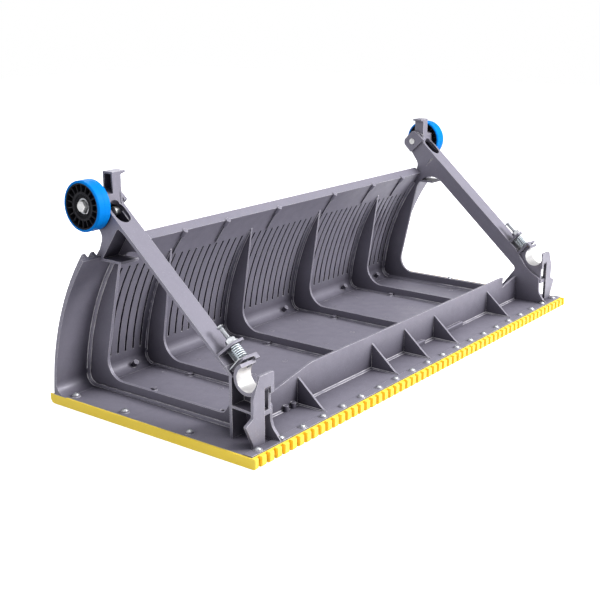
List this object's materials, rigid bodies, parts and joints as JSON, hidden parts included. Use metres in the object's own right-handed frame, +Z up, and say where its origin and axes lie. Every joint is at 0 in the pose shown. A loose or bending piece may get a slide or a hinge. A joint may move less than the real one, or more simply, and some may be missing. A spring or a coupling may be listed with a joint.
{
  "type": "escalator step",
  "caption": "Escalator step lying on its tread: cleated tread and curved riser, triangular side frames with rollers, sprung axle locks and yellow comb strips.",
  "frame": {"origin": "on the floor, under the middle of the tread, at the centre of the outline's rectangle", "axes": "+Z up as the step lies on its tread, +X along the width to the right-hand side frame, +Y from the comb edge to the riser"},
  "size_m": [1.004, 0.416, 0.3674],
  "materials": {
    "cast_body": "die cast, grey paint, satin",
    "yellow_strip": "moulded, satin",
    "zinc_screw": "zinc plated",
    "roller_tyre": "polyurethane, satin",
    "roller_hub": "glass-filled nylon",
    "seal_rubber": "matt",
    "zinc_steel": "zinc plated, bright",
    "bearing_steel": "ground"
  },
  "bodies": {
    "step_frame": {"comb_screws": "zinc_screw", "comb_strip_1": "yellow_strip", "comb_strip_2": "yellow_strip", "comb_strip_3": "yellow_strip", "comb_strip_4": "yellow_strip", "comb_strip_5": "yellow_strip", "cross_beam": "cast_body", "left_axle_seat": "cast_body", "left_bearing_inner_ring": "bearing_steel", "left_head_screw": "zinc_steel", "left_lock_spring": "zinc_steel", "left_roller_bolt": "zinc_steel", "left_roller_nut": "zinc_steel", "left_roller_spacer": "zinc_steel", "left_side_frame": "cast_body", "left_side_strip": "yellow_strip", "left_spring_guard": "zinc_steel", "left_strip_screws": "zinc_screw", "right_axle_seat": "cast_body", "right_bearing_inner_ring": "bearing_steel", "right_head_screw": "zinc_steel", "right_lock_spring": "zinc_steel", "right_roller_bolt": "zinc_steel", "right_roller_nut": "zinc_steel", "right_roller_spacer": "zinc_steel", "right_side_frame": "cast_body", "right_side_strip": "yellow_strip", "right_spring_guard": "zinc_steel", "right_strip_screws": "zinc_screw", "riser_plate": "cast_body", "tread_plate": "cast_body", "tread_ribs": "cast_body"},
    "left_roller": {"left_bearing_balls": "bearing_steel", "left_bearing_outer_ring": "bearing_steel", "left_bearing_seals": "seal_rubber", "left_roller_hub": "roller_hub", "left_roller_tyre": "roller_tyre"},
    "right_roller": {"right_bearing_balls": "bearing_steel", "right_bearing_outer_ring": "bearing_steel", "right_bearing_seals": "seal_rubber", "right_roller_hub": "roller_hub", "right_roller_tyre": "roller_tyre"},
    "left_lock": {"left_lock_nut": "zinc_steel", "left_lock_pin": "zinc_steel", "left_lock_washer": "zinc_steel", "left_tail_clip": "zinc_steel"},
    "right_lock": {"right_lock_nut": "zinc_steel", "right_lock_pin": "zinc_steel", "right_lock_washer": "zinc_steel", "right_tail_clip": "zinc_steel"}
  },
  "joints": [
    {"name": "left_roller_spin", "type": "hinge", "parent": "step_frame", "child": "left_roller", "pos_m": [-0.48, 0.123, 0.32], "axis": [1, 0, 0], "continuous": true},
    {"name": "left_lock_pull", "type": "slide", "parent": "step_frame", "child": "left_lock", "axis": [0, 0.7502, 0.6613], "range_m": [0, 0.01], "stiffness_N_per_m": 1800, "springref_m": -0.006, "deforming": ["left_lock_spring"]},
    {"name": "right_roller_spin", "type": "hinge", "parent": "step_frame", "child": "right_roller", "pos_m": [0.48, 0.123, 0.32], "axis": [1, 0, 0], "continuous": true},
    {"name": "right_lock_pull", "type": "slide", "parent": "step_frame", "child": "right_lock", "axis": [0, 0.7502, 0.6613], "range_m": [0, 0.01], "stiffness_N_per_m": 1800, "springref_m": -0.006, "deforming": ["right_lock_spring"]}
  ]
}
